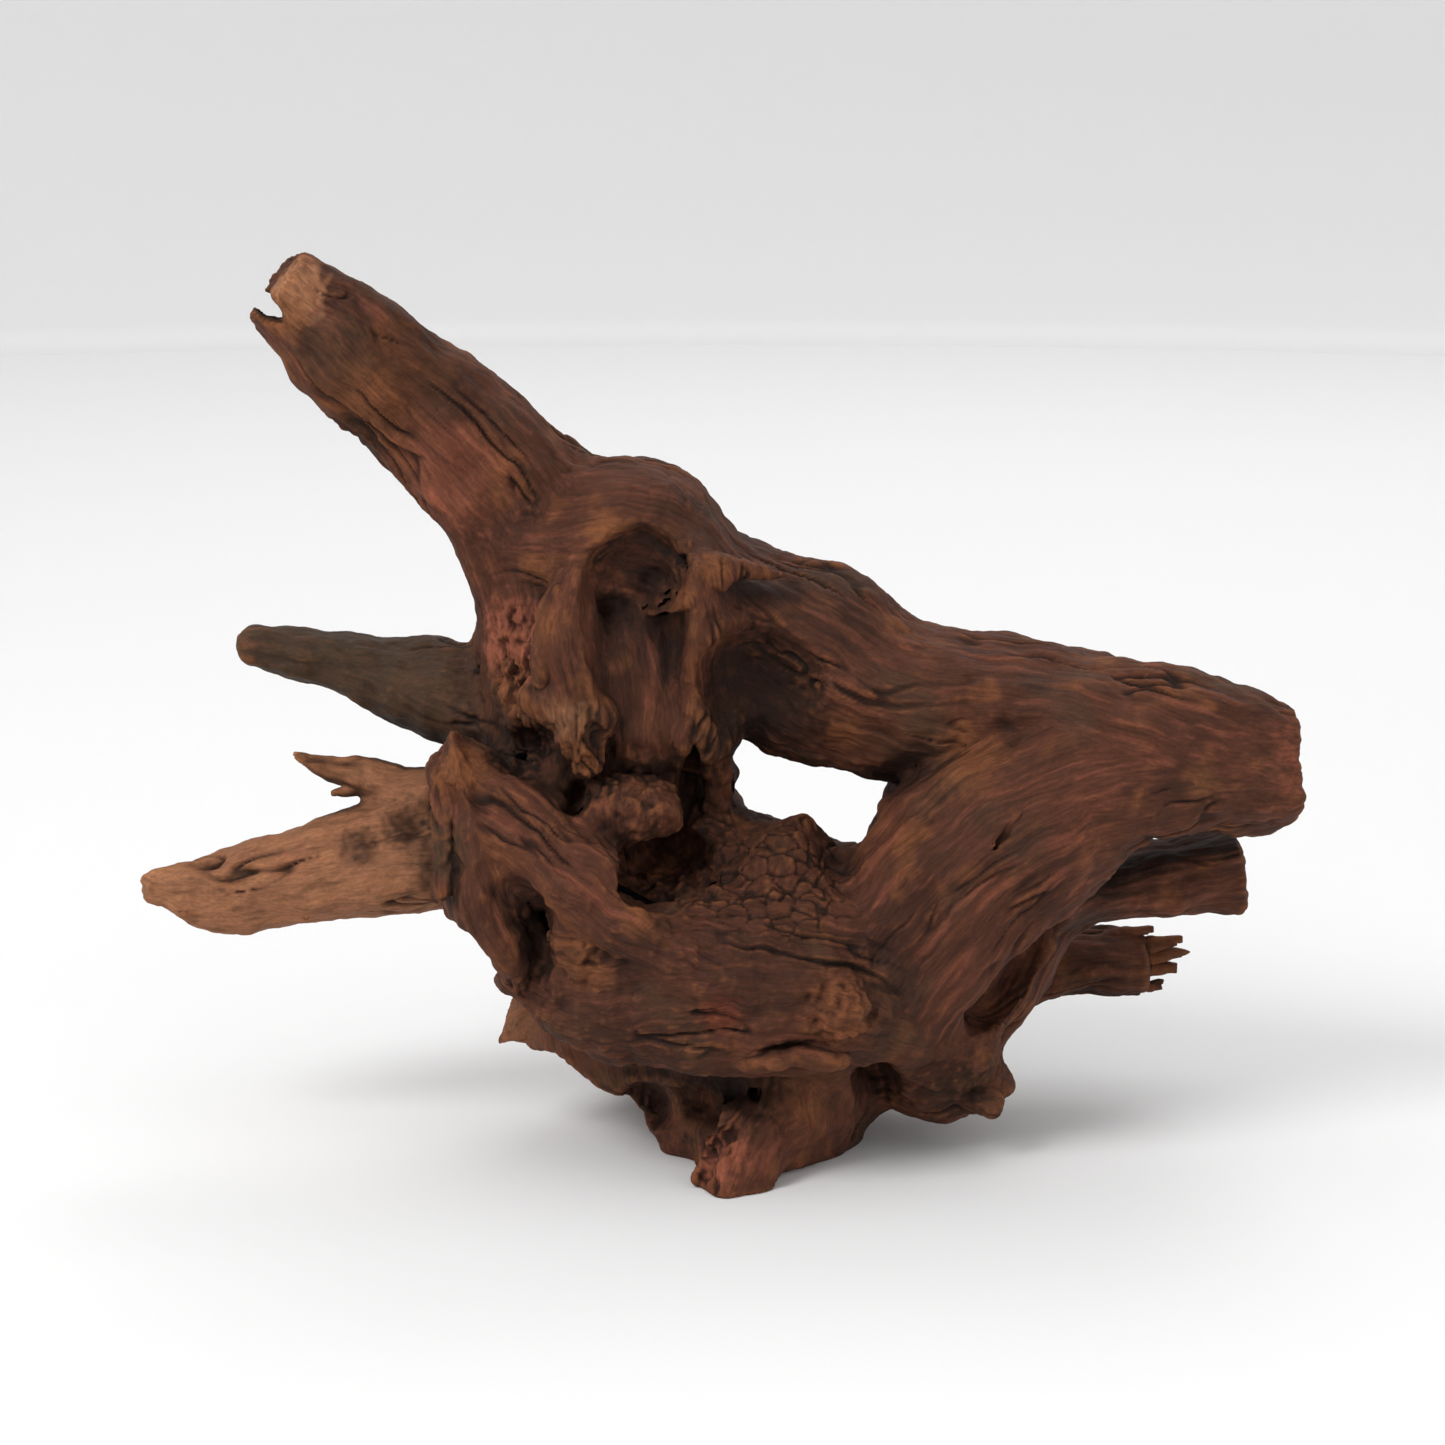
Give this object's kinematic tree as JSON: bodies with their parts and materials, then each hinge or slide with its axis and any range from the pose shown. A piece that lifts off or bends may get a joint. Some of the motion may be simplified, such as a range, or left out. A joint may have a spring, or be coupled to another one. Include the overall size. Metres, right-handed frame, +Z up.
{
  "type": "driftwood stump aquarium ornament",
  "caption": "Weathered red-brown driftwood root stump with a swim-through arch, hollows, a long raised limb, a blunt side arm and several broken roots; stands on a flat base.",
  "frame": {"origin": "on the surface the stump stands on, under the middle of its bounding box", "axes": "+X along the blunt right arm, as seen from the front; -Y towards the front with the arch and the hollows; +Z up"},
  "size_m": [0.4053, 0.1758, 0.3166],
  "materials": {
    "red_root_wood": "weathered, matt, long raised grain, dark red-brown",
    "checked_root_wood": "weathered, matt, checked into small cubes, very dark brown",
    "pale_root_wood": "weathered, matt, fibrous, orange-tan",
    "dark_root_wood": "weathered, matt, grey-green brown",
    "torn_pink_wood": "torn end grain, matt, salmon brown",
    "splintered_root_wood": "weathered, matt, splintered, grey-brown",
    "dowel_oak": "turned, unfinished oak",
    "pin_bamboo": "split bamboo, unfinished",
    "screw_steel": "stainless, lightly brushed"
  },
  "bodies": {
    "root": {"stump_core": "red_root_wood", "base_trunk": "red_root_wood", "shoulder_arch": "red_root_wood", "upper_left_limb": "red_root_wood", "right_arm": "red_root_wood", "front_root": "red_root_wood", "knuckle_burl": "red_root_wood", "rear_brace_root": "red_root_wood", "rear_right_root": "red_root_wood", "belly_root": "red_root_wood", "diagonal_root": "red_root_wood", "cracked_lump": "checked_root_wood", "left_loop_root": "red_root_wood", "long_left_root": "pale_root_wood", "dark_stub_root": "dark_root_wood", "front_foot_root": "torn_pink_wood", "rear_foot_root": "red_root_wood", "lower_right_burl": "red_root_wood", "rim_root": "red_root_wood", "lower_right_prong": "red_root_wood", "splintered_root": "splintered_root_wood", "ridge_fin": "red_root_wood", "upright_fin": "red_root_wood", "forked_splinter": "pale_root_wood", "left_shard": "pale_root_wood", "oak_dowels": "dowel_oak", "bamboo_pins": "pin_bamboo", "steel_screws": "screw_steel"}
  },
  "joints": []
}
